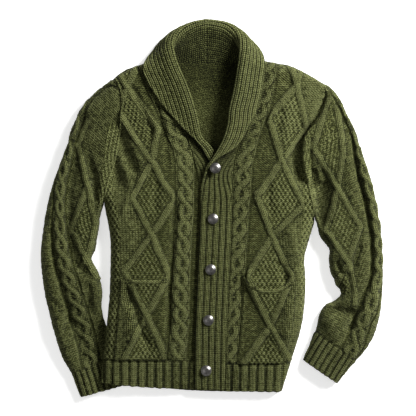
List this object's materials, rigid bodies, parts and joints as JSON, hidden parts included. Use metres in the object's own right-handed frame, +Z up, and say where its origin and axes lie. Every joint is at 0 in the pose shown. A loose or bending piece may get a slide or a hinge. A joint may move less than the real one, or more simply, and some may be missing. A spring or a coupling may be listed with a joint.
{
  "type": "shawl-collared cable-knit cardigan",
  "caption": "Heavy cable-knit cardigan with a ribbed shawl collar, domed metal buttons and patch pockets, fastened and laid flat on its back.",
  "frame": {"origin": "middle of the underside of the laid garment, at the height of the surface it lies on", "axes": "+Z up from the surface, +Y from the hem to the collar, +X to the wearer's left"},
  "size_m": [0.7242, 0.7952, 0.0534],
  "materials": {
    "wool": "thick olive green wool knit, matt with a soft sheen",
    "metal": "aged dark nickel, satin"
  },
  "bodies": {
    "root": {"back": "wool", "button_1": "metal", "button_2": "metal", "button_3": "metal", "button_4": "metal", "button_5": "metal", "collar_left": "wool", "collar_right": "wool", "front_left": "wool", "front_right": "wool", "pocket_left": "wool", "pocket_right": "wool", "sleeve_left": "wool", "sleeve_right": "wool"}
  },
  "joints": []
}
